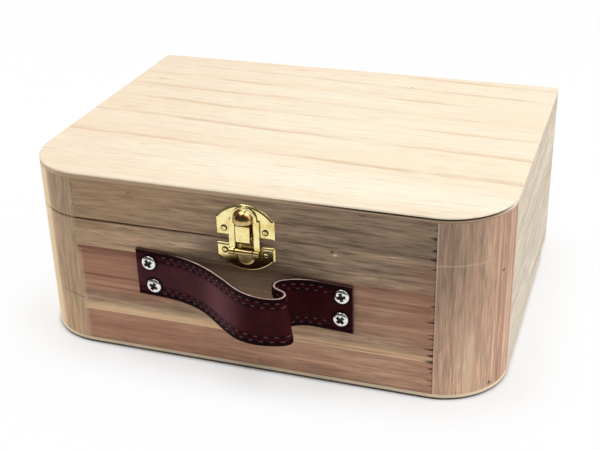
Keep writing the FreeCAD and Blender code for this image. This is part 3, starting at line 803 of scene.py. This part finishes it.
strap_faces, face_parts = [], []
for row in range(len(stations) - 1):
    for k in range(around):
        after = (k + 1) % around
        strap_faces.append((row * around + k, row * around + after,
                            (row + 1) * around + after, (row + 1) * around + k))
        parts = {outline[k][2], outline[after][2]}
        sewn = parts == {groove} and sewn_from < stations[row] < sewn_to
        plain = skin if min(parts) == groove else min(parts)
        face_parts.append(cut if cut in parts else groove if sewn or margin in parts else plain)
strap_faces += [tuple(reversed(range(around))), tuple(range(len(strap_points) - around, len(strap_points)))]
face_parts += [cut, cut]


def burgundy_leather(name, deep, worn, roughness, pebble, marks=None):
    material, bench = blank_material(name)
    place = bench.make("ShaderNodeTexCoord", out="Object")
    pores = place.make("ShaderNodeTexVoronoi", {"feature": "DISTANCE_TO_EDGE"},
                       {"Vector": place, "Scale": 1100.0})
    mottle = place.make("ShaderNodeTexNoise", None, {"Vector": place, "Scale": 120.0, "Detail": 4.0})
    crease = place.make("ShaderNodeTexNoise", None, {"Vector": place, "Scale": 700.0, "Detail": 3.0})
    tone = mottle.rises(0.35, 0.7).blend(deep, worn)
    tone = tone.shaded(0.62 + pores.rises(0.02, 0.16) * 0.30 + crease.rises(0.3, 0.7) * 0.34)
    if marks:
        tone = marks(tone, place, mottle)
    relief = bench.make("ShaderNodeBump", None, {
        "Strength": pebble, "Distance": 0.0001, "Height": pores.rises(0.0, 0.25) + crease * 0.6})
    face = bench.make("ShaderNodeBsdfPrincipled", None, {
        "Base Color": tone, "Roughness": roughness + mottle * 0.15, "Normal": relief,
        "Specular IOR Level": 0.05})
    bench.make("ShaderNodeOutputMaterial", None, {"Surface": face})
    return material


painted_sheen_tone = tint(104, 60, 68)


def sheen_and_screw_shade(tone, place, mottle):
    """A painted sheen on the left and the bow, between the sewn margins, and painted shade round the
    screws.
    """
    side = {axis: place.make("ShaderNodeSeparateXYZ", None, {"Vector": place}, out=axis) for axis in "XYZ"}
    left_part = 1 - side["X"].rises(-0.012, 0.010)
    bowed = (side["Y"] * -1.0 - half_depth).rises(0.004, 0.013)
    across = (side["Z"] - strap_height) * cos(strap_droop) + (side["X"] - strap_left) * sin(strap_droop)
    unsewn = 1 - abs(across).rises(0.0046, 0.0068)
    # A painted sheen: paler purple-grey on the left part and the bow, faint in the sewn margins.
    share = (left_part * (0.42 + bowed * 0.5) + bowed * 0.08) * (0.35 + unsewn * 0.65)
    tone = (share * (0.7 + mottle * 0.6)).blend(tone, painted_sheen_tone)
    # Painted shade in a ring round each screw head.
    for along, across, turn in screw_spots:
        x, z = strap_spot(along, across)
        ring = ((side["X"] - x) ** 2.0 + (side["Z"] - z) ** 2.0) ** 0.5
        tone = tone.shaded(0.25 + ring.rises(0.0036, 0.0050) * 0.75)
    return tone


def edge_highlight_and_shade(tone, place, mottle):
    """The cut edge: pale raw leather, partly a painted highlight along the lifted bow, with painted shade
    where the strap's ends lie flat on the board.
    """
    along = place.make("ShaderNodeSeparateXYZ", None, {"Vector": place}, out="X")
    ends = 1 - along.rises(-0.038, -0.022) * (1 - along.rises(0.024, 0.034))
    return (ends * 0.85).blend(tone, edge_shade_tone)


edge_shade_tone = tint(52, 18, 22)
strap_reach = route_along[-1]
screw_spots = ((0.0059, 0.0056, 0.5), (0.0081, -0.0056, 1.1),
               (strap_reach - 0.0044, 0.0065, 0.2), (strap_reach - 0.0044, -0.0047, 0.8))
strap_leather = burgundy_leather("strap_leather", tint(48, 2, 8), tint(62, 5, 14), 0.40, 0.3, sheen_and_screw_shade)
# The cut edge's pale tones are partly a painted highlight.
strap_edge = burgundy_leather("strap_cut_edge", tint(190, 164, 154), tint(222, 198, 188), 0.6, 0.4,
                              edge_highlight_and_shade)
# The lining: dark leather, painted darker still as the shade inside the fold.
strap_lining = burgundy_leather("strap_lining", tint(54, 24, 24), tint(68, 34, 32), 0.65, 0.4)
# Near-black for the pressed stitch grooves, as painted shade in them, and for the margins outside the
# stitch rows.
strap_groove = burgundy_leather("strap_groove", tint(26, 1, 4), tint(38, 4, 9), 0.5, 0.3)
strap = add_piece("handle_strap", strap_points, strap_faces,
                  [strap_leather, strap_edge, strap_lining, strap_groove], "base")
strap.data.polygons.foreach_set("material_index", face_parts)
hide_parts("handle_strap_face", "handle_strap_lining")

# The strap's sewing: two rows of waxed thread along each long edge, lying in pressed grooves on the
# face and showing again on the lining, with the rows stopping short of the screws.
stitch_pitch, stitch_length, thread_radius = 0.0042, 0.0030, 0.00027
thread_sides, thread_steps = 8, 8
thread_points, thread_faces = [], []
for row_number, row in enumerate(stitch_rows):
    first = sewn_from + 0.001 + (row_number % 2) * stitch_pitch / 2
    for begin in np.arange(first, sewn_to - stitch_length, stitch_pitch):
        for surface, facing in ((strap_thickness - groove_depth, 1), (0.0, -1)):
            middle_out = np.interp(begin + stitch_length / 2, stations, route_out)
            if facing < 0 and middle_out < 0.002:
                continue
            start = len(thread_points)
            for k in range(thread_steps + 1):
                share = k / thread_steps
                plump = thread_radius * max(0.12, sin(pi * share)) ** 0.4
                level = surface + facing * thread_radius * (1.5 * sin(pi * share) ** 0.5 - 0.9)
                for corner in range(thread_sides):
                    angle = 2 * pi * corner / thread_sides
                    thread_points.append(on_strap(begin + share * stitch_length, row + plump * cos(angle),
                                                  level + plump * sin(angle)))
            for k in range(thread_steps):
                for corner in range(thread_sides):
                    low, after = start + k * thread_sides, (corner + 1) % thread_sides
                    thread_faces.append((low + corner, low + thread_sides + corner,
                                         low + thread_sides + after, low + after))
            thread_faces.append(tuple(range(start, start + thread_sides)))
            end = len(thread_points)
            thread_faces.append(tuple(reversed(range(end - thread_sides, end))))
# The first and last steps of each stitch, where the thread goes into its hole, are near-black: painted
# shade in the needle holes.
sunk_steps = 2
sunk_parts = [1] * thread_sides * sunk_steps
thread_parts = sunk_parts + [0] * thread_sides * (thread_steps - 2 * sunk_steps) + sunk_parts + [1, 1]
needle_hole_shade = speckled("needle_hole_shade", 2200.0, 2.0, (0.3, 0.7), (20, 4, 6), (40, 12, 14),
                       0.0, (0.8, 0.1))
waxed_thread = speckled("waxed_thread", 2600.0, 2.0, (0.3, 0.7), (70, 32, 36), (102, 60, 61),
                        0.0, (0.5, 0.2), relief=(0.4, 0.0001))
stitches = add_piece("strap_stitches", thread_points, thread_faces, [waxed_thread, needle_hole_shade], "base",
                     crease=60.0)
stitches.data.polygons.foreach_set("material_index",
                                   thread_parts * (len(thread_faces) // len(thread_parts)))


# The strap's screws: four nickel-plated pan-head wood screws with cross recesses, two at each end,
# driven through the leather into the front board.
screw_head, screw_height, screw_shank, screw_length = 0.0034, 0.0017, 0.0015, 0.0084
screw_rim, screw_point, screw_sides = 0.0006, 0.0025, 48
recess_long, recess_wide, recess_deep = 0.0044, 0.0016, 0.0013
crown_steps = 10
screw_profile = [(0.0002, -screw_length), (screw_shank, -screw_length + screw_point), (screw_shank, 0.0),
                 (screw_head * 0.97, 0.0), (screw_head, 0.0001), (screw_head, screw_rim)]
for k in range(1, crown_steps + 1):
    swing = k * (pi / 2 - 0.12) / crown_steps
    screw_profile.append((screw_head * cos(swing),
                          screw_rim + (screw_height - screw_rim) * sin(swing)))
screw_points, screw_faces = turned(screw_profile, screw_sides)


def recess_cutter():
    """A cross of two tapered bars that the driver's recess is pressed out with."""
    points, faces = [], []
    top, bottom = screw_height + 0.0003, screw_height - recess_deep
    for across in (False, True):
        start = len(points)
        for height, taper in ((top, 1.15), (bottom, 0.45)):
            long, wide = recess_long / 2 * taper, recess_wide / 2 * (0.6 + 0.4 * taper)
            for x, y in ((-long, -wide), (long, -wide), (long, wide), (-long, wide)):
                points.append((y, -x, height) if across else (x, y, height))
        faces += [tuple(start + c for c in face) for face in (
            (0, 1, 2, 3), (7, 6, 5, 4), (0, 4, 5, 1), (1, 5, 6, 2), (2, 6, 7, 3), (3, 7, 4, 0))]
    return points, faces


def cut_solid(points, faces, tool_points, tool_faces):
    """The first solid with the second cut away, as verts and faces."""
    solids = []
    for name, verts, polys in (("screw_blank", points, faces), ("recess_tool", tool_points, tool_faces)):
        mesh = bpy.data.meshes.new(name)
        mesh.from_pydata(verts, [], polys)
        solids.append(bpy.data.objects.new(name, mesh))
        bpy.context.scene.collection.objects.link(solids[-1])
    cut = solids[0].modifiers.new("recess", 'BOOLEAN')
    cut.object, cut.solver, cut.use_self = solids[1], 'EXACT', True
    result = bpy.data.meshes.new_from_object(solids[0].evaluated_get(bpy.context.evaluated_depsgraph_get()))
    found = [tuple(v.co) for v in result.vertices], [tuple(p.vertices) for p in result.polygons]
    for solid in solids:
        bpy.data.objects.remove(solid)
    return found


screw_points, screw_faces = cut_solid(screw_points, screw_faces, *recess_cutter())
bright_nickel = speckled("bright_nickel", 1500.0, 3.0, (0.3, 0.75), (240, 239, 235), (214, 211, 204),
                         1.0, (0.14, 0.14), relief=(0.08, 0.00005))
recess_shade_and_dirt = speckled("recess_shade_and_dirt", 1800.0, 3.0, (0.3, 0.7), (46, 42, 38), (92, 86, 78),
                       0.6, (0.4, 0.3))
# The recess faces take a dark grey: painted shade in the driver's recess, with dirt.
recess_parts = []
for face in screw_faces:
    middle = sum((Vector(screw_points[corner]) for corner in face), Vector()) / len(face)
    crown = np.interp(-middle.xy.length, [-radius for radius, height in screw_profile[5:]],
                      [height for radius, height in screw_profile[5:]])
    recess_parts.append(int(middle.xy.length < screw_head * 0.9 and 0.0 < middle.z < crown - 0.00012))
screw_places = []
for along, across, turn in screw_spots:
    x, z = strap_spot(along, across)
    screw_places.append(on_front(x, strap_thickness, z, turn))
screws = add_piece("strap_screws_turned", *copies(screw_points, screw_faces, screw_places),
                   [bright_nickel, recess_shade_and_dirt], "base", crease=30.0)
screws.data.polygons.foreach_set("material_index", recess_parts * len(screw_places))
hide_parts("strap_screws")
